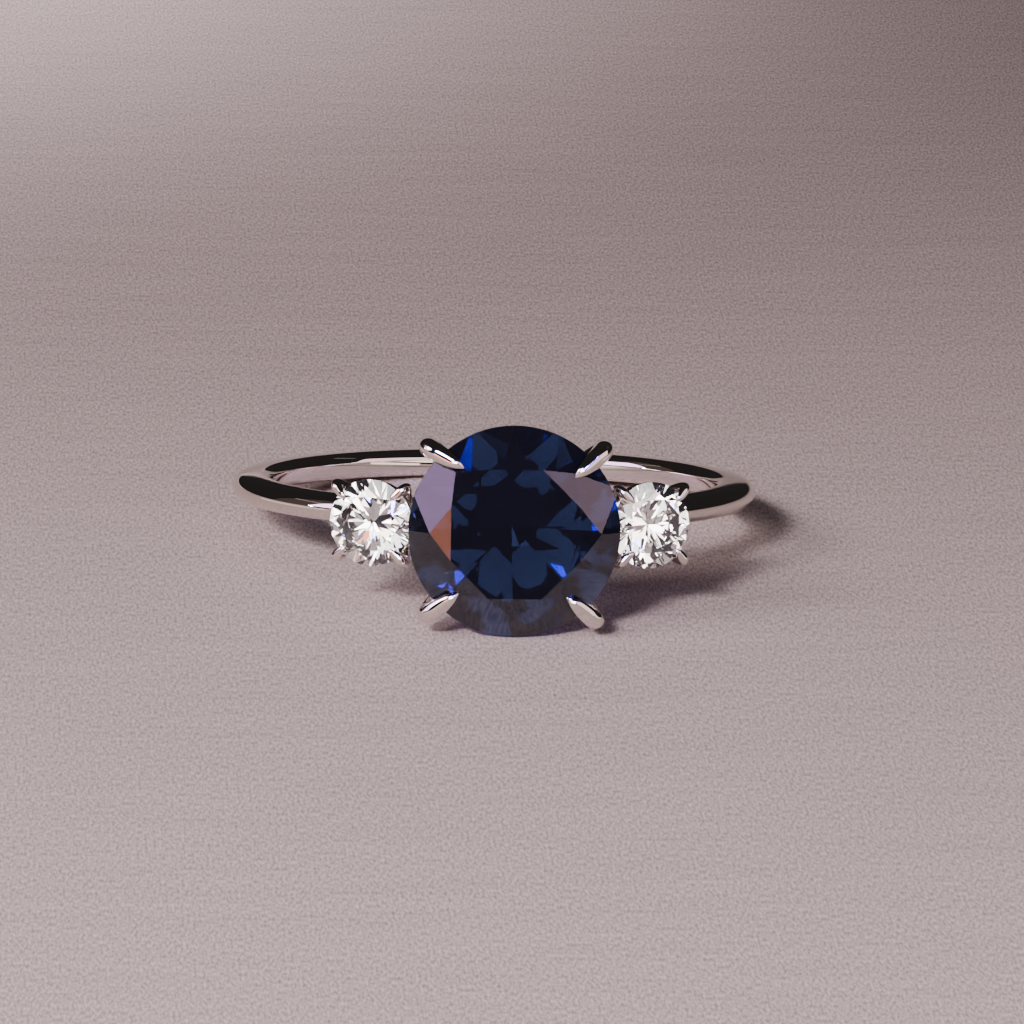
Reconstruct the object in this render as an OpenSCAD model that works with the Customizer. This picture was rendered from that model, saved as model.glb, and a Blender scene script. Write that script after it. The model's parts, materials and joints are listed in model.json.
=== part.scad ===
// Three stone ring, lying on its side as it rests by itself.
// A slim polished band carries a four-claw basket with a round sapphire,
// and a smaller four-claw basket with a round diamond on each shoulder.
//
// Part frame: millimetres, +Z up from the surface that the ring lies on, the stones
// towards -Y, and the origin on the surface under the middle of the whole ring.
// Ring frame: the finger axis is Z, the head looks along -Y, and the finger centre is the origin.
// Stone frame: the stone's axis is Z with the table up, and the girdle plane is Z = 0.

/* [Finger] */
// Inside diameter of the band
finger_d = 17.3; // [15:0.1:20]

/* [Band] */
// Radial thickness of the band
band_t = 1.55; // [1.2:0.05:2]
// Width of the band along the finger
band_w = 1.05; // [0.8:0.05:1.4]
// Radius that rounds the inner edges for comfort, up to most of half the band's width
band_edge_r = 0.4; // [0.1:0.05:0.45]
// Radius along the band's outer crest, up to nearly half the band's width
band_crest_r = 0.48; // [0.2:0.02:0.5]

/* [Centre stone] */
// Diameter of the sapphire
centre_d = 8; // [6.5:0.1:9]
// Gap between the sapphire's culet and the band
culet_gap = 0.2; // [0.1:0.05:0.6]

/* [Side stones] */
// Diameter of each diamond
side_d = 3.3; // [2.8:0.1:3.9]
// Gap between each diamond's culet and the band
side_lift = 1.15; // [0.8:0.05:1.6]
// How far each diamond reaches in behind the sapphire's edge
side_tuck = 0.2; // [0:0.05:0.4]

/* [Cut] */
// Table width, corner to corner, as a share of the stone's diameter
table_share = 0.66; // [0.52:0.01:0.68]
// Slope of the crown's main facets in degrees
crown_angle = 34.5; // [30:0.5:38]
// Slope of the pavilion's main facets in degrees
pavilion_angle = 40.9; // [39:0.1:42.5]
// Where the star facets end, as a share of the stone's radius
star_share = 0.81; // [0.76:0.01:0.86]
// Where the sapphire's lower girdle facets end, as a share of its radius
centre_lower_share = 0.45; // [0.3:0.01:0.6]
// Where a diamond's lower girdle facets end, as a share of its radius
side_lower_share = 0.22; // [0.15:0.01:0.35]
// Thickness of the girdle at its corners, as a share of the stone's diameter
girdle_share = 0.03; // [0.024:0.002:0.04]

/* [Centre claws] */
// Depth of a claw beside the sapphire's girdle
claw_t = 0.9; // [0.6:0.05:1.1]
// Width of a claw
claw_w = 0.74; // [0.5:0.02:1]
// Radius that the claw tips reach in to, as a share of the sapphire's radius
claw_reach = 0.76; // [0.7:0.01:0.86]

/* [Side claws] */
// Depth of a claw beside a diamond's girdle
side_claw_t = 0.5; // [0.35:0.05:0.65]
// Width of a claw
side_claw_w = 0.4; // [0.3:0.02:0.6]
// Radius that the claw tips reach in to, as a share of the diamond's radius
side_claw_reach = 0.76; // [0.68:0.01:0.84]

/* [Rails] */
// Wire diameter of the rail under the sapphire
rail_d = 0.54; // [0.4:0.02:0.7]
// Wire diameter of the ring that carries the centre basket on the band
foot_d = 0.84; // [0.6:0.02:1]
// Diameter of that ring, across the middle of its wire
foot_ring_d = 3.1; // [2.6:0.1:3.6]
// Wire diameter of the rail under a diamond
side_rail_d = 0.36; // [0.3:0.02:0.44]
// Wire diameter of the ring that carries a side basket on the band
side_foot_d = 0.6; // [0.5:0.02:0.7]
// Diameter of that ring, across the middle of its wire
side_foot_ring_d = 1.5; // [1.2:0.1:1.8]

/* [Fit] */
// Gap between a stone and the claws and rails that hold it
stone_gap = 0.04; // [0.02:0.01:0.08]

/* [Hidden] */
$fn = 96;

finger_r = finger_d / 2;
band_r = finger_r + band_t;
half_w = band_w / 2;
centre_r = centre_d / 2;
side_r = side_d / 2;

// Each side of the band bulges in an arc that starts level at the inner edge's rounding
// and runs smoothly into the crest. side_end is the arc's angle where it meets the crest.
fullest_crest = 0.95;
crest_r = min(band_crest_r, fullest_crest * half_w);
fullest_edge = 0.86;
edge_r = min(band_edge_r, fullest_edge * half_w);
edge_at = finger_r + edge_r;
crest_at = band_r - crest_r;
side_run = crest_at - edge_at;
side_arc_r = (pow(side_run, 2) + pow(half_w, 2) - pow(crest_r, 2)) / (2 * (half_w - crest_r));
side_end = acos(side_run / (side_arc_r - crest_r));

// Heights of a round brilliant above and below its girdle plane.
mains = 8;
corners = 2 * mains;
octant = 360 / mains;
half_octant = octant / 2;
function girdle_h(r) = girdle_share * r;
function table_h(r) = girdle_h(r) + r * (1 - table_share) * tan(crown_angle);
function star_h(r) = table_h(r) - r * (star_share * cos(half_octant) - table_share) * tan(crown_angle);
function culet_h(r) = girdle_h(r) + r * tan(pavilion_angle);
function lower_h(r, share) = culet_h(r) - r * share * cos(half_octant) * tan(pavilion_angle);
// Facets are drawn on past the girdle to this share of the radius, then cut back round.
past_share = 1.06;

// Distance of each girdle plane from the finger centre, and the turn of the side stones.
head_h = band_r + culet_gap + culet_h(centre_r);
side_h = band_r + side_lift + culet_h(side_r);
side_turn = asin((centre_r - side_tuck) / norm([side_h, side_r])) + atan(side_r / side_h);

// The ring lies on the back of the band and on the lowest edge of the sapphire's girdle.
// The band touches down on the arc of its side, or on its crest where the side is flatter
// than the tilt. Each arc is given by its radius and its centre's distance out and height.
ARC_R = 0;
ARC_OUT = 1;
ARC_UP = 2;
side_arc = [side_arc_r, edge_at, side_arc_r - half_w];
crest_arc = [crest_r, crest_at, 0];
function tilt_on(arc) =
    let (run = head_h - girdle_h(centre_r) + arc[ARC_OUT], rise = centre_r + arc[ARC_UP])
    atan(rise / run) - asin(arc[ARC_R] / norm([run, rise]));
rest_arc = tilt_on(side_arc) < 90 - side_end ? side_arc : crest_arc;
rest_tilt = tilt_on(rest_arc);
rest_lift = rest_arc[ARC_R] + rest_arc[ARC_OUT] * sin(rest_tilt) - rest_arc[ARC_UP] * cos(rest_tilt);
table_front = (head_h + table_h(centre_r)) * cos(rest_tilt)
    + centre_r * table_share * cos(half_octant) * sin(rest_tilt);
band_back = crest_at * cos(rest_tilt) + crest_r;
rest_y = (table_front - band_back) / 2;

// Claws round the sapphire, counted anticlockwise from the upper right one. Each was
// bent over by hand, so its place in degrees and its skew differ a little from the rest.
CLAW_AT = 0;
CLAW_SKEW = 1;
centre_claws = [[43, -3], [136, 17], [224, -6], [313, 7]];
side_claws = [[45, 0], [135, 0], [225, 0], [315, 0]];

// Sections of a claw's stem from the foot to the girdle: how far up the stem,
// depth and width as shares of the claw's own, and share of the skew.
STEM_AT = 0;
STEM_DEPTH = 1;
STEM_WIDTH = 2;
STEM_SKEW = 3;
stem = [
    [0, 0.74, 0.86, 0],
    [0.3, 0.76, 0.88, 0],
    [0.6, 0.82, 0.92, 0.1],
    [0.82, 0.9, 0.96, 0.4],
    [0.94, 0.96, 1, 0.75],
];
// Sections of a claw round the girdle: lean of the section in degrees, height above
// the girdle plane as a share of half the girdle and the gap, depth and width as
// shares of the claw's own.
BEND_LEAN = 0;
BEND_UP = 1;
BEND_DEPTH = 2;
BEND_WIDTH = 3;
bend = [
    [-18, -0.4, 1, 1],
    [0, 0, 1, 1],
    [12, 0.33, 0.98, 1],
    [24, 0.67, 0.94, 1],
    [36, 1, 0.88, 1],
];
// Sections of a claw over the crown: how far in from the girdle towards the tip,
// depth and width as shares of the claw's own.
TIP_AT = 0;
TIP_DEPTH = 1;
TIP_WIDTH = 2;
tip = [
    [0.1, 0.8, 0.99],
    [0.22, 0.71, 0.96],
    [0.36, 0.61, 0.9],
    [0.5, 0.51, 0.81],
    [0.64, 0.41, 0.68],
    [0.77, 0.31, 0.51],
    [0.88, 0.21, 0.33],
    [0.96, 0.12, 0.17],
    [1, 0.05, 0.05],
];

// Rails lie under the pavilion at these shares of the stone's radius.
rail_share = 0.86;
side_rail_share = 0.84;
// How deep the foot rings sink into the band, as a share of their wire.
foot_sink = 0.3;

metal = "Gainsboro";
claw_sides = 16;
side_claw_sides = 12;

// Turns children from a stone frame to the ring frame.
module seat(turn, height) {
    rotate([0, 0, turn])
        translate([0, -height, 0])
            rotate([90, 0, 0])
                children();
}

// Lays children from the ring frame down in the part frame.
module lay_down() {
    translate([0, rest_y, rest_lift])
        rotate([-rest_tilt, 0, 0])
            children();
}

// Point at a radius, an angle and a height.
function polar(r, a, z) = [r * cos(a), r * sin(a), z];

// Height, at radius r and angle a, of the plane through three points.
function plane_z(p, q, s, r, a) =
    let (n = cross(q - p, s - p), v = polar(r, a, 0))
    p[2] - (n[0] * (v[0] - p[0]) + n[1] * (v[1] - p[1])) / n[2];

// The next main facet, and the next corner of the girdle.
function next(i) = (i + 1) % mains;
function next_corner(i) = (i + 1) % corners;

// A ring of points at every girdle corner.
function corner_ring(r, z) = [for (i = [0:corners - 1]) polar(r, half_octant * i, z)];

// Eight points on the middle ring and sixteen on the outer ring of a cut whose
// middle ring has radius mr and height mh, and whose girdle corners lie at r and gh.
function cut_rings(r, gh, mr, mh) =
    let (
        past = r * past_share,
        m = polar(mr, 0, mh),
        h = polar(r, 0, gh),
        g = polar(r, half_octant, gh),
        h_out = plane_z(m, h, g, past, 0),
        g_out = plane_z(m, h, g, past, half_octant)
    )
    concat(
        [for (i = [0:mains - 1]) polar(mr, octant * i, mh)],
        [for (i = [0:corners - 1]) polar(past, half_octant * i, i % 2 == 0 ? h_out : g_out)]
    );

// Upper facets on a body that is wider and deeper than the stone: the table, eight
// star facets, eight kites and sixteen upper girdle facets.
module crown(r) {
    mid_at = mains;
    out_at = mid_at + mains;
    low_at = out_at + corners;
    points = concat(
        [for (i = [0:mains - 1]) polar(r * table_share, octant * i + half_octant, table_h(r))],
        cut_rings(r, girdle_h(r), r * star_share, star_h(r)),
        corner_ring(r * past_share, -culet_h(r) - girdle_h(r))
    );
    table = [for (i = [mains - 1:-1:0]) i];
    stars = [for (i = [0:mains - 1]) [mid_at + next(i), i, next(i)]];
    kites = [for (i = [0:mains - 1]) [i, mid_at + next(i), out_at + 2 * i + 1, mid_at + i]];
    halves = [for (i = [0:mains - 1]) each [
        [mid_at + i, out_at + 2 * i + 1, out_at + 2 * i],
        [mid_at + next(i), out_at + 2 * next(i), out_at + 2 * i + 1],
    ]];
    sides = [for (i = [0:corners - 1])
        [out_at + i, out_at + next_corner(i), low_at + next_corner(i), low_at + i]];
    under = [for (i = [0:corners - 1]) low_at + i];
    polyhedron(points, concat([table], stars, kites, halves, sides, [under]));
}

// Lower facets on a body that is wider and higher than the stone: eight main facets
// and sixteen lower girdle facets that end at a share of the radius, and a pointed culet.
module pavilion(r, lower_share) {
    culet = 0;
    mid_at = 1;
    out_at = mid_at + mains;
    top_at = out_at + corners;
    points = concat(
        [[0, 0, -culet_h(r)]],
        cut_rings(r, -girdle_h(r), r * lower_share, -lower_h(r, lower_share)),
        corner_ring(r * past_share, table_h(r) + girdle_h(r))
    );
    main_facets = [for (i = [0:mains - 1]) [culet, mid_at + i, out_at + 2 * i + 1, mid_at + next(i)]];
    halves = [for (i = [0:mains - 1]) each [
        [mid_at + i, out_at + 2 * i, out_at + 2 * i + 1],
        [mid_at + next(i), out_at + 2 * i + 1, out_at + 2 * next(i)],
    ]];
    sides = [for (i = [0:corners - 1])
        [out_at + i, top_at + i, top_at + next_corner(i), out_at + next_corner(i)]];
    over = [for (i = [corners - 1:-1:0]) top_at + i];
    polyhedron(points, concat(main_facets, halves, sides, [over]));
}

// Round brilliant with a true round girdle. The cylinder runs past both ends.
module brilliant(r, lower_share) {
    spare = 2 * girdle_h(r);
    deep = culet_h(r) + spare;
    high = table_h(r) + spare;
    intersection() {
        translate([0, 0, -deep])
            cylinder(h = deep + high, r = r);
        crown(r);
        pavilion(r, lower_share);
    }
}

// One section of a claw: an oval round its middle line, in a plane that leans from
// the outward direction. The skew turns it about the girdle's outer side.
function oval(inner, lean, depth, width, skew, pivot, sides) = [
    for (i = [0:sides - 1])
        let (
            a = 360 * i / sides,
            out = depth * (1 + cos(a)) / 2,
            x = inner[0] + out * cos(lean) - pivot,
            y = width / 2 * sin(a)
        )
        [
            pivot + x * cos(skew) - y * sin(skew),
            x * sin(skew) + y * cos(skew),
            inner[1] + out * sin(lean)
        ]
];

// Slope, as a ratio, of the crown along the middle of a star facet and of the ridge
// outside it, and the crown's height along that line.
function star_slope(r) =
    (table_h(r) - star_h(r)) / (r * (star_share - table_share * cos(half_octant)));
function ridge_slope(r) = (star_h(r) - girdle_h(r)) / (r * (1 - star_share));
function crown_z(r, at) =
    at > r * star_share
        ? girdle_h(r) + (r - at) * ridge_slope(r)
        : star_h(r) + (r * star_share - at) * star_slope(r);

// All sections of a claw that stands on a foot at radius foot_r and height foot_z.
function claw_rings(r, depth, width, reach, foot_r, foot_z, skew, sides) =
    let (
        girdle = girdle_h(r),
        slope = atan(ridge_slope(r)),
        run = r * (1 - reach),
        pivot = r + stone_gap + depth / 2,
        from = [foot_r - stem[0][STEM_DEPTH] * depth / 2, foot_z],
        to = [r + stone_gap, -girdle - stone_gap],
        lean = atan((to[1] - from[1]) / (to[0] - from[0])) - 90
    )
    concat(
        [for (s = stem)
            oval(from + (to - from) * s[STEM_AT], lean, depth * s[STEM_DEPTH], width * s[STEM_WIDTH],
                skew * s[STEM_SKEW], pivot, sides)],
        [for (s = bend)
            oval([r + stone_gap, s[BEND_UP] * (girdle + stone_gap)],
                s[BEND_LEAN], depth * s[BEND_DEPTH], width * s[BEND_WIDTH], skew, pivot, sides)],
        [for (s = tip)
            let (at = r - run * s[TIP_AT])
            oval([at + stone_gap * sin(slope), crown_z(r, at) + stone_gap * cos(slope)],
                90 - slope, depth * s[TIP_DEPTH], width * s[TIP_WIDTH], skew, pivot, sides)]
    );

// Closed skin over a list of sections that all have the same number of points.
module skin(rings) {
    sides = len(rings[0]);
    last = (len(rings) - 1) * sides;
    polyhedron([for (ring = rings) each ring], concat(
        [[for (i = [0:sides - 1]) i]],
        [for (k = [0:len(rings) - 2]) for (i = [0:sides - 1])
            let (a = k * sides + i, b = k * sides + (i + 1) % sides)
            [a, a + sides, b + sides, b]],
        [[for (i = [sides - 1:-1:0]) last + i]]
    ));
}

// Plain round wire bent into a ring.
module wire_ring(ring_r, wire_r) {
    rotate_extrude()
        translate([ring_r, 0])
            circle(r = wire_r);
}

// Basket in the stone frame: four claws, the rail that the pavilion rests in and the
// foot ring that is soldered to the band.
module basket(r, claws, depth, width, reach, rail_r, rail_at, foot_r, foot_ring_r, foot_z, sides) {
    rail_low = girdle_h(r) + r * (1 - rail_at) * tan(pavilion_angle)
        + (rail_r + stone_gap) / cos(pavilion_angle);
    for (c = claws)
        rotate([0, 0, c[CLAW_AT]])
            skin(claw_rings(r, depth, width, reach, foot_ring_r, foot_z, c[CLAW_SKEW], sides));
    translate([0, 0, -rail_low])
        wire_ring(r * rail_at, rail_r);
    translate([0, 0, foot_z])
        wire_ring(foot_ring_r, foot_r);
}

// The band's outline from the inner edges to the crest.
module bulging_sides() {
    intersection() {
        translate([edge_at, -half_w])
            square([side_run + crest_r * cos(side_end), band_w]);
        translate([edge_at, side_arc_r - half_w])
            circle(r = side_arc_r);
        translate([edge_at, half_w - side_arc_r])
            circle(r = side_arc_r);
    }
}

// Band with a rounded crest, bulging sides, rounded inner edges and a narrow true cylinder inside.
module band() {
    rotate_extrude($fn = 192)
        union() {
            translate([finger_r, edge_r - half_w])
                square([edge_r, band_w - 2 * edge_r]);
            for (s = [-1, 1])
                translate([edge_at, s * (half_w - edge_r)])
                    circle(r = edge_r);
            bulging_sides();
            translate([crest_at, 0])
                circle(r = crest_r);
        }
}

// Band, centre basket and side baskets, soldered into one piece.
module ring_mount() {
    foot_z = band_r + foot_d * (0.5 - foot_sink) - head_h;
    side_foot_z = band_r + side_foot_d * (0.5 - foot_sink) - side_h;
    color(metal)
        lay_down() {
            band();
            seat(0, head_h)
                basket(centre_r, centre_claws, claw_t, claw_w, claw_reach, rail_d / 2, rail_share,
                    foot_d / 2, foot_ring_d / 2, foot_z, claw_sides);
            for (s = [-1, 1])
                seat(s * side_turn, side_h)
                    basket(side_r, side_claws, side_claw_t, side_claw_w, side_claw_reach,
                        side_rail_d / 2, side_rail_share, side_foot_d / 2, side_foot_ring_d / 2,
                        side_foot_z, side_claw_sides);
        }
}

// Blue centre stone.
module sapphire() {
    color("MidnightBlue")
        lay_down()
            seat(0, head_h)
                brilliant(centre_r, centre_lower_share);
}

// Clear side stone on the left shoulder.
module diamond_left() {
    color("Azure")
        lay_down()
            seat(-side_turn, side_h)
                brilliant(side_r, side_lower_share);
}

// Clear side stone on the right shoulder.
module diamond_right() {
    color("Azure")
        lay_down()
            seat(side_turn, side_h)
                brilliant(side_r, side_lower_share);
}

ring_mount();
sapphire();
diamond_left();
diamond_right();
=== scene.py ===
"""Looks of a three stone ring: a round sapphire between two round diamonds on a slim white gold band.

The ring lies on its side on a pale floor. Every length is in metres unless its name says millimetres.
"""

import json
import math
from collections import namedtuple

import bmesh
import bpy
from bpy.props import (
    FloatProperty,
    FloatVectorProperty,
    IntProperty,
    PointerProperty,
    StringProperty,
)
from mathutils import Matrix, Vector


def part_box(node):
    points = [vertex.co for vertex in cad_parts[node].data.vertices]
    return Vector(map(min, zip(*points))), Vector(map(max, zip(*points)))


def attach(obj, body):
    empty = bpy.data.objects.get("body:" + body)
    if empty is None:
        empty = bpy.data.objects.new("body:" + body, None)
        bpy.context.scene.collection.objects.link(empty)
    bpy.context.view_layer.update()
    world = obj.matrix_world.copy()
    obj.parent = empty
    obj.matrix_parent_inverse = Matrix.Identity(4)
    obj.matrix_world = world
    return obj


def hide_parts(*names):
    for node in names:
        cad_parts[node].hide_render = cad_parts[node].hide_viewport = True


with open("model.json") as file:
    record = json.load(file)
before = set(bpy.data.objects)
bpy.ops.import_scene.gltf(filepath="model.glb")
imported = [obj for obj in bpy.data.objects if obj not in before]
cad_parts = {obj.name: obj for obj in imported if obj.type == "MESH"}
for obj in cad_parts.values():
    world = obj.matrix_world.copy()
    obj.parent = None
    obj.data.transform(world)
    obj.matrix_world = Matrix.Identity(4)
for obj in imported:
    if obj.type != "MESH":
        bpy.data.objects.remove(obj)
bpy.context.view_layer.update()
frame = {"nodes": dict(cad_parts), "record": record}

bl_info = {
    "name": "Three stone ring",
    "version": (1, 0, 0),
    "blender": (4, 5, 0),
    "location": "View3D > Sidebar > Ring",
    "description": "Builds the polished mount, the stones' finish and the stage of a three stone ring",
    "category": "Object",
}

MM = 0.001

# The finger bore says where the ring's centre is and how far the ring leans back.
BORE = frame["record"]["mounts"][0]
BORE_CENTRE = Vector(BORE["pos_m"])
BORE_AXIS = Vector(BORE["axis"])
BORE_RADIUS = BORE["dims"]["r_mm"] * MM
SAPPHIRE_LOW, SAPPHIRE_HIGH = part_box("sapphire")


class RingSizes(bpy.types.PropertyGroup):
    """Sizes of the metal mount."""

    bore_diameter: FloatProperty(
        name="Bore",
        description="Inside diameter of the band",
        default=2 * BORE_RADIUS,
        unit="LENGTH",
    )
    band_thickness: FloatProperty(
        name="Band thickness",
        description="Thickness of the band away from the finger",
        default=1.55 * MM,
        unit="LENGTH",
    )
    band_width: FloatProperty(
        name="Band width",
        description="Width of the band along the finger",
        default=1.05 * MM,
        unit="LENGTH",
    )
    band_edge: FloatProperty(
        name="Inner edge",
        description="Radius on the band's two inner edges",
        default=0.4 * MM,
        unit="LENGTH",
    )
    band_crest: FloatProperty(
        name="Crest",
        description="Radius along the band's outer crest",
        default=0.48 * MM,
        unit="LENGTH",
    )
    centre_diameter: FloatProperty(
        name="Sapphire",
        description="Diameter of the sapphire",
        default=round((SAPPHIRE_HIGH.x - SAPPHIRE_LOW.x) / MM, 1) * MM,
        unit="LENGTH",
    )
    culet_gap: FloatProperty(
        name="Culet gap",
        description="Gap between the sapphire's point and the band",
        default=0.2 * MM,
        unit="LENGTH",
    )
    side_diameter: FloatProperty(
        name="Diamonds",
        description="Diameter of each diamond",
        default=3.3 * MM,
        unit="LENGTH",
    )
    side_lift: FloatProperty(
        name="Diamond lift",
        description="Gap between a diamond's point and the band",
        default=1.15 * MM,
        unit="LENGTH",
    )
    side_tuck: FloatProperty(
        name="Diamond tuck",
        description="Reach of a diamond behind the sapphire's edge",
        default=0.2 * MM,
        unit="LENGTH",
    )
    stone_gap: FloatProperty(
        name="Stone gap",
        description="Gap between a stone and the metal",
        default=0.04 * MM,
        unit="LENGTH",
    )
    claw_sides: IntProperty(
        name="Claw sides",
        description="Sides of a claw before smoothing",
        default=16,
        min=8,
    )


class RingColours(bpy.types.PropertyGroup):
    """Colours of the metal, the stones and the stage, as sRGB hex values."""

    gold: StringProperty(
        name="White gold",
        description="Colour of the polished metal",
        default="F0E7DF",
    )
    sapphire: StringProperty(
        name="Sapphire",
        description="Colour that a ray keeps in the sapphire",
        default="7C8EAA",
    )
    diamond: StringProperty(
        name="Diamond",
        description="Colour that a ray keeps in a diamond",
        default="FFFCF6",
    )
    floor: StringProperty(
        name="Floor",
        description="Colour of the floor",
        default="B6A2A4",
    )
    surroundings: StringProperty(
        name="Surroundings",
        description="Colour of the dark room",
        default="252324",
    )


class StageSettings(bpy.types.PropertyGroup):
    """Camera and floor."""

    distance: FloatProperty(
        name="Distance",
        description="From the camera to the middle of the band",
        default=0.368,
        unit="LENGTH",
    )
    elevation: FloatProperty(
        name="Elevation",
        description="Height angle of the camera",
        default=math.radians(15.2),
        subtype="ANGLE",
    )
    turn: FloatProperty(
        name="Turn",
        description="How far the camera stands to the left",
        default=math.radians(3.5),
        subtype="ANGLE",
    )
    roll: FloatProperty(
        name="Roll",
        description="Roll of the camera to the left",
        default=math.radians(1.45),
        subtype="ANGLE",
    )
    focal_pixels: FloatProperty(
        name="Focal length",
        description="Focal length in pixels",
        default=9415.0,
    )
    centre_pixel: FloatVectorProperty(
        name="Bore in the picture",
        description="Pixel of the middle of the band",
        default=(493.6, 488.3),
        size=2,
    )
    floor_radius: FloatProperty(
        name="Floor",
        description="Radius of the floor",
        default=0.7,
        unit="LENGTH",
    )


# The picture's width and height in pixels, and the nearest and farthest that the camera sees.
PICTURE = 1024
SENSOR_MM = 36.0
NEAREST = 0.01
FARTHEST = 10.0

# Polish marks on the metal, and specks and fibres of the floor card, across and along the way that the
# camera looks. Real ones are too fine to see from there, so these are as coarse as they need to be to show.
POLISH_MARK = 0.3 * MM
GRAIN = Vector((0.1 * MM, 0.38 * MM))
FIBRE = Vector((9 * MM, 1.6 * MM))

# Steps round the band, along the arcs of its section, round a wire ring, round its wire and round the
# floor, how often a basket is smoothed, and how near two points are merged.
BAND_STEPS = 360
CREST_STEPS = 20
SIDE_STEPS = 6
EDGE_STEPS = 14
RING_STEPS = 64
WIRE_SIDES = 12
FLOOR_SIDES = 96
SMOOTHING = 2
MERGE_DISTANCE = 1e-7

# What a cut stone does with light: index of refraction, how fast colour deepens along a ray, and how
# strongly facets mirror, where 0.5 is in full. Sapphire's own index is 1.77, and a little less keeps the
# lamps' mirror images faint.
Optics = namedtuple("Optics", "ior density gleam")
SAPPHIRE_OPTICS = Optics(ior=1.7, density=920.0, gleam=0.2)
DIAMOND_OPTICS = Optics(ior=2.42, density=20.0, gleam=0.5)
# Share of the light that a facet lets in clear. The rest is scattered, as by a trace of haze.
CLARITY = 0.996

# Share of each stone's diameter or radius, and slopes, that the claws over the crown follow.
TABLE_SHARE = 0.66
STAR_SHARE = 0.81
GIRDLE_SHARE = 0.03
CROWN_SLOPE = math.tan(math.radians(34.5))
PAVILION_SLOPE = math.tan(math.radians(40.9))
HALF_OCTANT = math.radians(22.5)

# A basket's form: place and skew of each claw in degrees, a claw's depth and width, the tips' reach and
# the rail's place as shares of the stone's radius, the rail's wire radius, and the foot ring's radius and
# wire radius.
Basket = namedtuple("Basket", "claws depth width reach rail_share rail_wire foot_radius foot_wire")
CENTRE_BASKET = Basket(
    claws=((43, -3), (136, 17), (224, -6), (313, 7)),
    depth=0.9 * MM,
    width=0.74 * MM,
    reach=0.76,
    rail_share=0.86,
    rail_wire=0.27 * MM,
    foot_radius=1.55 * MM,
    foot_wire=0.42 * MM,
)
SIDE_BASKET = Basket(
    claws=((45, 0), (135, 0), (225, 0), (315, 0)),
    depth=0.5 * MM,
    width=0.4 * MM,
    reach=0.76,
    rail_share=0.84,
    rail_wire=0.18 * MM,
    foot_radius=0.75 * MM,
    foot_wire=0.3 * MM,
)
# How deep the foot rings sink into the band, as a share of their wire.
FOOT_SINK = 0.3

# Sections of a claw's stem: share of the way up, depth share, width share, and share of the skew.
STEM = (
    (0.0, 0.74, 0.86, 0.0),
    (0.3, 0.76, 0.88, 0.0),
    (0.6, 0.82, 0.92, 0.1),
    (0.82, 0.9, 0.96, 0.4),
    (0.94, 0.96, 1.0, 0.75),
)
# Sections round the girdle: lean in degrees, height share, depth share and width share.
BEND = (
    (-18, -0.4, 1.0, 1.0),
    (0, 0.0, 1.0, 1.0),
    (12, 0.33, 0.98, 1.0),
    (24, 0.67, 0.94, 1.0),
    (36, 1.0, 0.88, 1.0),
)
# Sections over the crown: share of the way in, depth share and width share.
TIP = (
    (0.1, 0.8, 0.99),
    (0.22, 0.71, 0.96),
    (0.36, 0.61, 0.9),
    (0.5, 0.51, 0.81),
    (0.64, 0.41, 0.68),
    (0.77, 0.31, 0.51),
    (0.88, 0.21, 0.33),
    (0.96, 0.12, 0.17),
    (1.0, 0.05, 0.05),
)


def linear_colour(code):
    """Linear colour, with alpha, of an sRGB hex value such as B3A6A3."""
    parts = [int(code[i : i + 2], 16) / 255 for i in (0, 2, 4)]
    return [c / 12.92 if c <= 0.04045 else ((c + 0.055) / 1.055) ** 2.4 for c in parts] + [1.0]


def add_node(tree, kind, settings=None, **inputs):
    """Adds a node. Settings are its own properties, and inputs are values or the sockets that feed it."""
    node = tree.nodes.new(kind)
    for name, value in (settings or {}).items():
        setattr(node, name, value)
    for name, value in inputs.items():
        socket = node.inputs[name.replace("_", " ")]
        if isinstance(value, bpy.types.NodeSocket):
            tree.links.new(value, socket)
        else:
            socket.default_value = value
    return node


def new_material(name):
    """An empty node material."""
    material = bpy.data.materials.new(name)
    material.use_nodes = True
    material.node_tree.nodes.clear()
    return material


def white_gold(colours):
    """White gold, mirror polished: the dark room makes it black, the lamps make it white, and faint polish
    marks soften the edges of what it mirrors."""
    material = new_material("polished_white_gold")
    tree = material.node_tree
    place = add_node(tree, "ShaderNodeTexCoord")
    marks = add_node(
        tree, "ShaderNodeTexNoise", Vector=place.outputs["Object"], Scale=1 / POLISH_MARK, Detail=3.0
    )
    rough = add_node(tree, "ShaderNodeMapRange", Value=marks.outputs["Fac"], To_Min=0.02, To_Max=0.06)
    surface = add_node(
        tree,
        "ShaderNodeBsdfPrincipled",
        Base_Color=linear_colour(colours.gold),
        Metallic=1.0,
        Roughness=rough.outputs["Result"],
    )
    add_node(tree, "ShaderNodeOutputMaterial", Surface=surface.outputs["BSDF"])
    return material


def cut_stone(name, optics, colour):
    """A polished stone: flat facets, no roughness, and colour that deepens with the way through it."""
    material = new_material(name)
    tree = material.node_tree
    surface = add_node(
        tree,
        "ShaderNodeBsdfPrincipled",
        Base_Color=(1.0, 1.0, 1.0, 1.0),
        Roughness=0.0,
        IOR=optics.ior,
        Transmission_Weight=CLARITY,
        Specular_IOR_Level=optics.gleam,
    )
    inside = add_node(
        tree, "ShaderNodeVolumeAbsorption", Color=linear_colour(colour), Density=optics.density
    )
    add_node(
        tree,
        "ShaderNodeOutputMaterial",
        Surface=surface.outputs["BSDF"],
        Volume=inside.outputs["Volume"],
    )
    return material


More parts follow.
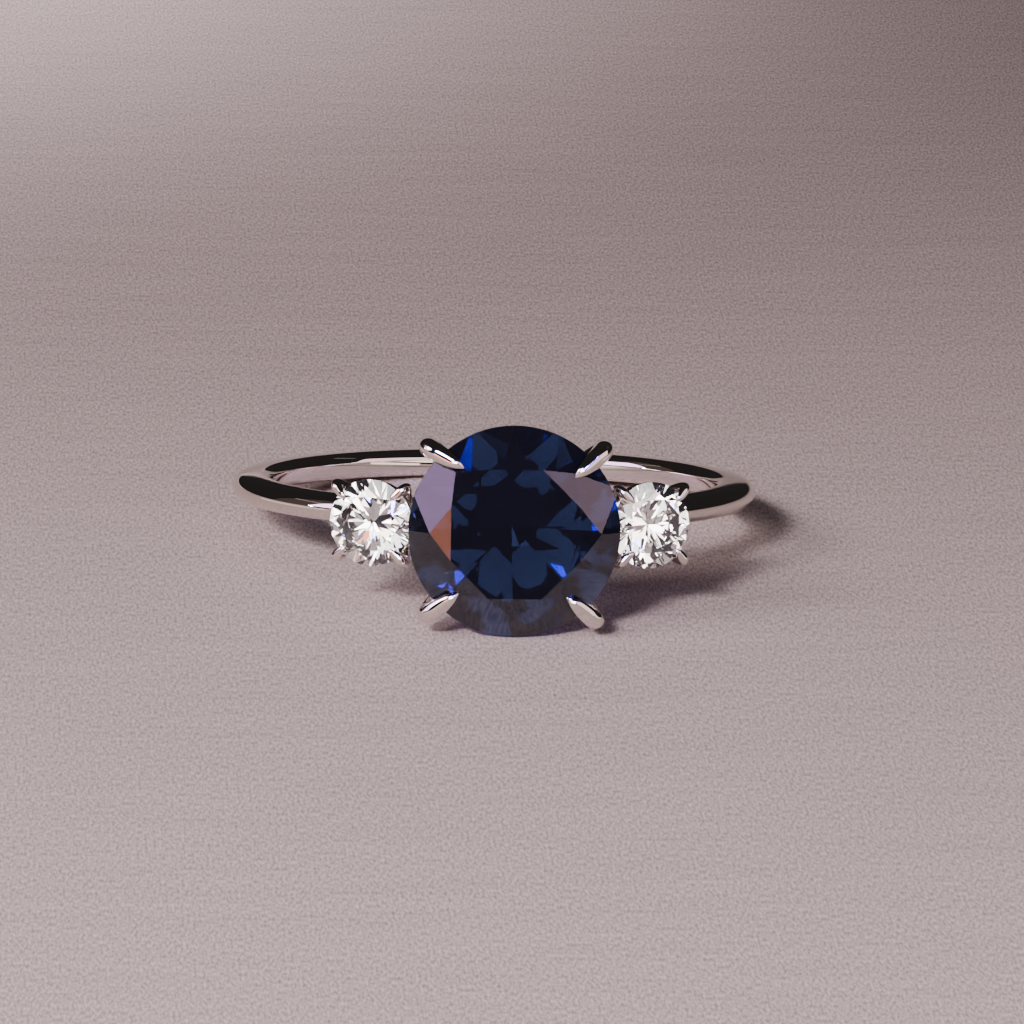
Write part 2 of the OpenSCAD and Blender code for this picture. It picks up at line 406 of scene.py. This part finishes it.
def floor_finish(colours):
    """Matt card with a fine grain, and faint long fibres that run from left to right."""
    material = new_material("matt_card")
    tree = material.node_tree
    place = add_node(tree, "ShaderNodeTexCoord")
    tint = linear_colour(colours.floor)[:3]
    # The last two are the shares of the tint in the darkest and in the lightest places.
    for size, detail, low, high in ((GRAIN, 1.0, 0.2, 1.8), (FIBRE, 3.0, 0.9, 1.1)):
        scale = (1 / size.x, 1 / size.y, 1 / size.x)
        mapped = add_node(tree, "ShaderNodeMapping", Vector=place.outputs["Object"], Scale=scale)
        noise = add_node(
            tree, "ShaderNodeTexNoise", Vector=mapped.outputs["Vector"], Scale=1.0, Detail=detail
        )
        shade = add_node(
            tree, "ShaderNodeMapRange", Value=noise.outputs["Fac"], To_Min=low, To_Max=high
        )
        scaled = add_node(
            tree, "ShaderNodeVectorMath", {"operation": "SCALE"}, Vector=tint, Scale=shade.outputs["Result"]
        )
        tint = scaled.outputs["Vector"]
    surface = add_node(tree, "ShaderNodeBsdfPrincipled", Base_Color=tint, Roughness=0.85)
    add_node(tree, "ShaderNodeOutputMaterial", Surface=surface.outputs["BSDF"])
    return material


def ring_place():
    """Lays the ring frame down: finger axis on Z, stones towards -Y, bore centre at its origin."""
    tilt = math.atan2(BORE_AXIS.y, BORE_AXIS.z)
    return Matrix.Translation(BORE_CENTRE) @ Matrix.Rotation(-tilt, 4, "X")


def seat_place(turn, height):
    """Places a stone frame, table up on Z and girdle at Z = 0, in the ring frame."""
    quarter = Matrix.Rotation(math.radians(90), 4, "X")
    return Matrix.Rotation(turn, 4, "Z") @ Matrix.Translation((0, -height, 0)) @ quarter


class Cut:
    """Heights of a round brilliant of a given radius, measured from its girdle plane."""

    def __init__(self, radius):
        self.radius = radius
        self.girdle = GIRDLE_SHARE * radius
        self.table = self.girdle + radius * (1 - TABLE_SHARE) * CROWN_SLOPE
        self.star = self.table - radius * (STAR_SHARE * math.cos(HALF_OCTANT) - TABLE_SHARE) * CROWN_SLOPE
        self.culet = self.girdle + radius * PAVILION_SLOPE
        self.ridge_slope = (self.star - self.girdle) / (radius * (1 - STAR_SHARE))
        star_run = radius * (STAR_SHARE - TABLE_SHARE * math.cos(HALF_OCTANT))
        self.star_slope = (self.table - self.star) / star_run

    def crown(self, at):
        """Height of the crown at a distance from the stone's axis."""
        edge = self.radius * STAR_SHARE
        if at > edge:
            return self.girdle + (self.radius - at) * self.ridge_slope
        return self.star + (edge - at) * self.star_slope


def seats(sizes):
    """Distance of the girdles from the finger centre, and the turn of the diamonds."""
    outside = sizes.bore_diameter / 2 + sizes.band_thickness
    centre, side = Cut(sizes.centre_diameter / 2), Cut(sizes.side_diameter / 2)
    head = outside + sizes.culet_gap + centre.culet
    side_height = outside + sizes.side_lift + side.culet
    far = math.hypot(side_height, side.radius)
    turn = math.asin((centre.radius - sizes.side_tuck) / far) + math.atan(side.radius / side_height)
    return head, side_height, turn


def finish_piece(bm, name, place, material, levels=0):
    """Turns a bmesh into a smooth piece that rides with the ring, with its place in its mesh."""
    bmesh.ops.remove_doubles(bm, verts=bm.verts, dist=MERGE_DISTANCE)
    bmesh.ops.transform(bm, matrix=place, verts=bm.verts)
    bmesh.ops.recalc_face_normals(bm, faces=bm.faces)
    for face in bm.faces:
        face.smooth = True
    mesh = bpy.data.meshes.new(name)
    bm.to_mesh(mesh)
    bm.free()
    mesh.materials.append(material)
    piece = bpy.data.objects.new(name, mesh)
    bpy.context.scene.collection.objects.link(piece)
    if levels:
        smooth = piece.modifiers.new("smooth", "SUBSURF")
        smooth.levels = smooth.render_levels = levels
    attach(piece, "root")
    return piece


def arc(centre, radius, start, end, steps):
    """Points on an arc in the XZ plane, from one angle to another in degrees."""
    angles = [math.radians(start + (end - start) * i / steps) for i in range(steps + 1)]
    return [Vector((centre[0] + radius * math.cos(a), 0, centre[1] + radius * math.sin(a))) for a in angles]


def band_outline(sizes):
    """Section of the band: crest, bulging sides, rounded inner edges and a narrow straight land inside."""
    inside, half = sizes.bore_diameter / 2, sizes.band_width / 2
    crest, edge = sizes.band_crest, sizes.band_edge
    edge_at = inside + edge
    crest_at = inside + sizes.band_thickness - crest
    run = crest_at - edge_at
    side = (run**2 + half**2 - crest**2) / (2 * (half - crest))
    end = math.degrees(math.acos(run / (side - crest)))
    upper = arc((crest_at, 0), crest, 0, end, CREST_STEPS)
    upper += arc((edge_at, half - side), side, end, 90, SIDE_STEPS)[1:]
    upper += arc((edge_at, half - edge), edge, 90, 180, EDGE_STEPS)[1:]
    lower = [Vector((p.x, 0, -p.z)) for p in reversed(upper[1:])]
    return upper + lower


def spin_outline(bm, points, steps):
    """Spins a closed outline in the XZ plane once round Z."""
    verts = [bm.verts.new(p) for p in points]
    edges = [bm.edges.new((verts[i - 1], verts[i])) for i in range(len(verts))]
    bmesh.ops.spin(
        bm,
        geom=verts + edges,
        cent=(0, 0, 0),
        axis=(0, 0, 1),
        dvec=(0, 0, 0),
        angle=math.tau,
        steps=steps,
        use_merge=True,
        use_duplicate=False,
    )


def add_wire_ring(bm, ring_radius, wire_radius, height):
    """Plain round wire bent into a ring about Z."""
    last = 360 - 360 / WIRE_SIDES
    outline = arc((ring_radius, height), wire_radius, 0, last, WIRE_SIDES - 1)
    spin_outline(bm, outline, RING_STEPS)


def section_matrix(inner, lean, depth, width, skew, pivot):
    """Places a unit circle as a claw's oval section, whose inner side is at inner and leans by lean."""
    out = Vector((math.cos(lean), 0, math.sin(lean)))
    centre = Vector((inner[0], 0, inner[1])) + out * depth / 2
    up = Vector((-out.z, 0, out.x))
    oval = Matrix(
        (
            (out.x * depth / 2, 0, up.x * depth / 2, centre.x),
            (0, width / 2, 0, 0),
            (out.z * depth / 2, 0, up.z * depth / 2, centre.z),
            (0, 0, 0, 1),
        )
    )
    there = Matrix.Translation((pivot, 0, 0))
    return there @ Matrix.Rotation(skew, 4, "Z") @ there.inverted() @ oval


def claw_sections(cut, sizes, form, foot, skew):
    """Matrices of a claw's sections, from its foot up past the girdle and in over the crown."""
    radius, gap = cut.radius, sizes.stone_gap
    depth, width = form.depth, form.width
    slope = math.atan(cut.ridge_slope)
    pivot = radius + gap + depth / 2
    start = Vector((foot[0] - STEM[0][1] * depth / 2, foot[1]))
    end = Vector((radius + gap, -cut.girdle - gap))
    lean = math.atan2(end.y - start.y, end.x - start.x) - math.radians(90)
    rows = [
        section_matrix(start + (end - start) * at, lean, depth * d, width * w, skew * share, pivot)
        for at, d, w, share in STEM
    ]
    for turn, up, d, w in BEND:
        inner = (radius + gap, up * (cut.girdle + gap))
        rows.append(section_matrix(inner, math.radians(turn), depth * d, width * w, skew, pivot))
    for share, d, w in TIP:
        at = radius - radius * (1 - form.reach) * share
        inner = (at + gap * math.sin(slope), cut.crown(at) + gap * math.cos(slope))
        rows.append(section_matrix(inner, math.radians(90) - slope, depth * d, width * w, skew, pivot))
    return rows


def add_claw(bm, sections, sides, place):
    """Sweeps a circle through a claw's sections and closes both ends."""
    made = bmesh.ops.create_circle(bm, cap_ends=True, segments=sides, radius=1, matrix=place @ sections[0])
    verts = made["verts"]
    edges = list({e for v in verts for e in v.link_edges if all(o in verts for o in e.verts)})
    for before, after in zip(sections, sections[1:]):
        made = bmesh.ops.extrude_edge_only(bm, edges=edges)["geom"]
        verts = [g for g in made if isinstance(g, bmesh.types.BMVert)]
        edges = [g for g in made if isinstance(g, bmesh.types.BMEdge) and all(v in verts for v in g.verts)]
        move = place @ after @ before.inverted() @ place.inverted()
        bmesh.ops.transform(bm, matrix=move, verts=verts)
    bmesh.ops.contextual_create(bm, geom=edges)


def basket(sizes, cut, height, form):
    """Claws, rail and foot ring round one stone, in its own frame."""
    bm = bmesh.new()
    outside = sizes.bore_diameter / 2 + sizes.band_thickness
    foot_height = outside + form.foot_wire * (1 - 2 * FOOT_SINK) - height
    foot = (form.foot_radius, foot_height)
    for at, skew in form.claws:
        place = Matrix.Rotation(math.radians(at), 4, "Z")
        sections = claw_sections(cut, sizes, form, foot, math.radians(skew))
        add_claw(bm, sections, sizes.claw_sides, place)
    slant = math.hypot(1, PAVILION_SLOPE)
    rail_low = cut.girdle + cut.radius * (1 - form.rail_share) * PAVILION_SLOPE
    rail_low += (form.rail_wire + sizes.stone_gap) * slant
    add_wire_ring(bm, cut.radius * form.rail_share, form.rail_wire, -rail_low)
    add_wire_ring(bm, form.foot_radius, form.foot_wire, foot_height)
    return bm


def gold():
    """The metal of the band and the baskets, made on its first use."""
    return bpy.data.materials.get("polished_white_gold") or white_gold(bpy.context.scene.ring_colours)


class RING_OT_band(bpy.types.Operator):
    """Make the slim band, rounded outside and inside"""

    bl_idname = "ring.add_band"
    bl_label = "Band"

    def execute(self, context):
        sizes = context.scene.ring_sizes
        bm = bmesh.new()
        spin_outline(bm, band_outline(sizes), BAND_STEPS)
        band = finish_piece(bm, "band", ring_place(), gold())
        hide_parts("ring_mount")
        return {"FINISHED"}


class RING_OT_centre_basket(bpy.types.Operator):
    """Make the four pointed claws, the rail and the foot ring that hold the sapphire"""

    bl_idname = "ring.add_centre_basket"
    bl_label = "Centre basket"

    def execute(self, context):
        sizes = context.scene.ring_sizes
        head, _, _ = seats(sizes)
        cut = Cut(sizes.centre_diameter / 2)
        bm = basket(sizes, cut, head, CENTRE_BASKET)
        place = ring_place() @ seat_place(0, head)
        finish_piece(bm, "centre_basket", place, gold(), levels=SMOOTHING)
        return {"FINISHED"}


class RING_OT_side_baskets(bpy.types.Operator):
    """Make the smaller basket on each shoulder"""

    bl_idname = "ring.add_side_baskets"
    bl_label = "Side baskets"

    def execute(self, context):
        sizes = context.scene.ring_sizes
        _, height, turn = seats(sizes)
        cut = Cut(sizes.side_diameter / 2)
        for name, side in (("left_basket", -1), ("right_basket", 1)):
            bm = basket(sizes, cut, height, SIDE_BASKET)
            place = ring_place() @ seat_place(side * turn, height)
            finish_piece(bm, name, place, gold(), levels=SMOOTHING)
        return {"FINISHED"}


class RING_OT_stones(bpy.types.Operator):
    """Give the three stones their finish"""

    bl_idname = "ring.finish_stones"
    bl_label = "Stones"

    def execute(self, context):
        colours = context.scene.ring_colours
        # Deep blue: black through its depth, and navy where a lamp reaches the eye by its back facets.
        sapphire = cut_stone("blue_sapphire", SAPPHIRE_OPTICS, colours.sapphire)
        # Colourless with a trace of warmth: its back facets throw the lamps back in white and grey.
        diamond = cut_stone("clear_diamond", DIAMOND_OPTICS, colours.diamond)
        stones = (("sapphire", sapphire), ("diamond_left", diamond), ("diamond_right", diamond))
        for node, material in stones:
            slots = frame["nodes"][node].data.materials
            slots.clear()
            slots.append(material)
        return {"FINISHED"}


# Lamps round the ring: azimuth and elevation in degrees, distance, width and height in metres,
# brightness seen straight on, colour as a hex value, spread in degrees, the point on the floor in
# millimetres that the lamp is aimed at, and what it lights. Those for the ring leave out the floor.
Lamp = namedtuple("Lamp", "name azimuth elevation distance wide high bright colour spread aim lights")
LAMPS = (
    ("left_key", -59, 31, 0.50, 0.20, 0.16, 20.0, "FFF6EE", 50, (0, 0), "all"),
    ("front_soft", -22, 28, 0.60, 0.50, 0.09, 345.0, "FFFAF8", 18.4, (0, -104), "floor"),
    ("floor_fill", 0, 70, 0.60, 0.30, 0.30, 1.8, "FFFAF8", 60, (0, -60), "floor"),
    ("top_left", -30, 70, 0.60, 0.05, 0.05, 1650.0, "FFFAF8", 12, (-43, 124), "floor"),
    ("left_box", -76, 22, 0.50, 0.30, 0.26, 4.5, "F0C4FF", 180, (0, 0), "ring"),
    ("right_box", 53, 22, 0.50, 0.42, 0.22, 2.0, "F8D0E4", 180, (0, 0), "ring"),
    ("front_key", -14, 35, 0.55, 0.12, 0.12, 24.0, "FFF6EE", 180, (0, 0), "ring"),
    ("front_card", -2, 14.5, 0.50, 0.32, 0.15, 13.0, "FFFAF6", 180, (0, 0), "ring"),
    ("blue_glint", 5, 25, 0.45, 0.05, 0.03, 300.0, "4A3CFF", 180, (0, 0), "ring"),
    ("blue_left", -22, 31, 0.45, 0.05, 0.04, 240.0, "4A3CFF", 180, (0, 0), "ring"),
    ("blue_right", 20, 28, 0.45, 0.05, 0.04, 240.0, "4A3CFF", 180, (0, 0), "ring"),
    ("right_card", 54, 4.7, 0.50, 0.46, 0.045, 2.4, "FFF0E6", 180, (0, 0), "ring"),
    ("warm_card", -29.5, 3.2, 0.22, 0.05, 0.024, 3.9, "FFA080", 180, (0, 0), "ring"),
    ("left_wall", -102, 22, 0.50, 0.26, 0.42, 0.09, "D8B8AC", 180, (0, 0), "ring"),
    ("left_streak", -100, 30, 0.49, 0.30, 0.006, 1.2, "FFF6F0", 180, (0, 0), "ring"),
    ("left_dot", -91, 5, 0.49, 0.01, 0.01, 500.0, "FFF6F0", 180, (0, 0), "ring"),
    ("left_strip", -90, 1.9, 0.021, 0.014, 0.0012, 0.6, "FFEEE2", 180, (0, 0), "ring"),
    ("right_strip", 62.4, 1.5, 0.026, 0.016, 0.0012, 1.8, "FFEEE2", 180, (0, 0), "ring"),
    ("right_streak", 112, 40, 0.49, 0.20, 0.02, 0.25, "DCE4DC", 180, (0, 0), "ring"),
    ("sparkle_left", -55, 28, 0.40, 0.36, 0.36, 9.0, "FFEEE2", 180, (0, 0), "diamonds"),
    ("sparkle_right", 55, 28, 0.40, 0.36, 0.36, 8.5, "FFEADC", 180, (0, 0), "diamonds"),
    ("sparkle_front", 0, 24, 0.40, 0.30, 0.30, 5.0, "FFFCFA", 180, (0, 0), "diamonds"),
    ("sparkle_top", 0, 75, 0.40, 0.36, 0.36, 5.0, "FFFCFA", 180, (0, 0), "diamonds"),
)


def around(azimuth, elevation, distance):
    """Point round the ring: azimuth 0 is in front, towards -Y, and positive is to the right."""
    a, e = math.radians(azimuth), math.radians(elevation)
    return Vector((math.sin(a) * math.cos(e), -math.cos(a) * math.cos(e), math.sin(e))) * distance


def make_floor(stage, colours):
    """Round floor of matt card."""
    bm = bmesh.new()
    bmesh.ops.create_circle(bm, cap_ends=True, segments=FLOOR_SIDES, radius=stage.floor_radius)
    mesh = bpy.data.meshes.new("floor")
    bm.to_mesh(mesh)
    bm.free()
    mesh.materials.append(floor_finish(colours))
    floor = bpy.data.objects.new("floor", mesh)
    bpy.context.scene.collection.objects.link(floor)
    return floor


def make_room(colours):
    """Dark room, which the metal mirrors between the lamps."""
    world = bpy.data.worlds.new("dark_room")
    world.use_nodes = True
    world.node_tree.nodes.clear()
    room = add_node(world.node_tree, "ShaderNodeBackground", Color=linear_colour(colours.surroundings))
    add_node(world.node_tree, "ShaderNodeOutputWorld", Surface=room.outputs["Background"])
    bpy.context.scene.world = world


def lit_groups(floor):
    """Collections of what a lamp lights. The ring's holds the floor alone, as what it leaves out."""
    diamonds = [frame["nodes"][name] for name in ("diamond_left", "diamond_right")]
    lit = {"all": None}
    for group, pieces in (("floor", [floor]), ("ring", [floor]), ("diamonds", diamonds)):
        lit[group] = bpy.data.collections.new("lit_" + group)
        for piece in pieces:
            lit[group].objects.link(piece)
    lit["ring"].collection_objects[0].light_linking.link_state = "EXCLUDE"
    return lit


def hang_lamp(row, lit):
    """Hangs one lamp. Its power falls with its spread, so that it stays as bright seen straight on."""
    lamp = bpy.data.lights.new(row.name, "AREA")
    lamp.shape, lamp.size, lamp.size_y = "RECTANGLE", row.wide, row.high
    half = math.radians(row.spread) / 2
    lamp.energy = math.pi * row.wide * row.high * row.bright * (1 - half / math.tan(half))
    lamp.color = linear_colour(row.colour)[:3]
    lamp.spread = 2 * half
    holder = bpy.data.objects.new(row.name, lamp)
    spot = around(row.azimuth, row.elevation, row.distance)
    back = spot - Vector((row.aim[0] * MM, row.aim[1] * MM, 0))
    holder.matrix_world = Matrix.Translation(spot) @ back.to_track_quat("Z", "Y").to_matrix().to_4x4()
    holder.visible_camera = False
    holder.light_linking.receiver_collection = lit[row.lights]
    bpy.context.scene.collection.objects.link(holder)


def make_camera(stage):
    """Camera that looks down on the stones, with the middle of the band at its place in the picture."""
    forward = -around(-math.degrees(stage.turn), math.degrees(stage.elevation), 1)
    level = forward.cross(Vector((0, 0, 1))).normalized()
    rise = level.cross(forward)
    right = level * math.cos(stage.roll) + rise * math.sin(stage.roll)
    up = rise * math.cos(stage.roll) - level * math.sin(stage.roll)
    pixel = stage.distance / stage.focal_pixels
    middle = PICTURE / 2
    aside = right * (middle - stage.centre_pixel[0]) - up * (middle - stage.centre_pixel[1])
    camera = bpy.data.cameras.new("camera")
    camera.sensor_width = SENSOR_MM
    camera.lens = SENSOR_MM * stage.focal_pixels / PICTURE
    camera.clip_start, camera.clip_end = NEAREST, FARTHEST
    holder = bpy.data.objects.new("camera", camera)
    turn = Matrix((right, up, -forward)).transposed().to_4x4()
    spot = BORE_CENTRE - forward * stage.distance + aside * pixel
    holder.matrix_world = Matrix.Translation(spot) @ turn
    bpy.context.scene.collection.objects.link(holder)
    bpy.context.scene.camera = holder


class RING_OT_stage(bpy.types.Operator):
    """Make the pale floor, the dark room, the soft lamps and the camera"""

    bl_idname = "ring.make_stage"
    bl_label = "Stage"

    def execute(self, context):
        colours, stage = context.scene.ring_colours, context.scene.ring_stage
        floor = make_floor(stage, colours)
        make_room(colours)
        lit = lit_groups(floor)
        for row in LAMPS:
            hang_lamp(Lamp(*row), lit)
        make_camera(stage)
        return {"FINISHED"}


OPERATORS = (RING_OT_band, RING_OT_centre_basket, RING_OT_side_baskets, RING_OT_stones, RING_OT_stage)
GROUPS = (("ring_sizes", RingSizes), ("ring_colours", RingColours), ("ring_stage", StageSettings))


class RING_PT_panel(bpy.types.Panel):
    """Lists the steps that make the ring"""

    bl_idname = "RING_PT_panel"
    bl_label = "Three stone ring"
    bl_space_type = "VIEW_3D"
    bl_region_type = "UI"
    bl_category = "Ring"

    def draw(self, context):
        for operator in OPERATORS:
            self.layout.operator(operator.bl_idname)
        for name, group in GROUPS:
            column = self.layout.column()
            for value in group.__annotations__:
                column.prop(getattr(context.scene, name), value)


def register():
    """Registers the settings, the operators and the panel."""
    for name, group in GROUPS:
        bpy.utils.register_class(group)
        setattr(bpy.types.Scene, name, PointerProperty(type=group))
    for operator in OPERATORS:
        bpy.utils.register_class(operator)
    bpy.utils.register_class(RING_PT_panel)


def unregister():
    """Takes the settings, the operators and the panel away again."""
    bpy.utils.unregister_class(RING_PT_panel)
    for operator in reversed(OPERATORS):
        bpy.utils.unregister_class(operator)
    for name, group in reversed(GROUPS):
        delattr(bpy.types.Scene, name)
        bpy.utils.unregister_class(group)


def main():
    """Makes the whole scene, one operator after the other."""
    register()
    bpy.ops.ring.add_band()
    bpy.ops.ring.add_centre_basket()
    bpy.ops.ring.add_side_baskets()
    bpy.ops.ring.finish_stones()
    bpy.ops.ring.make_stage()


if __name__ == "__main__":
    main()
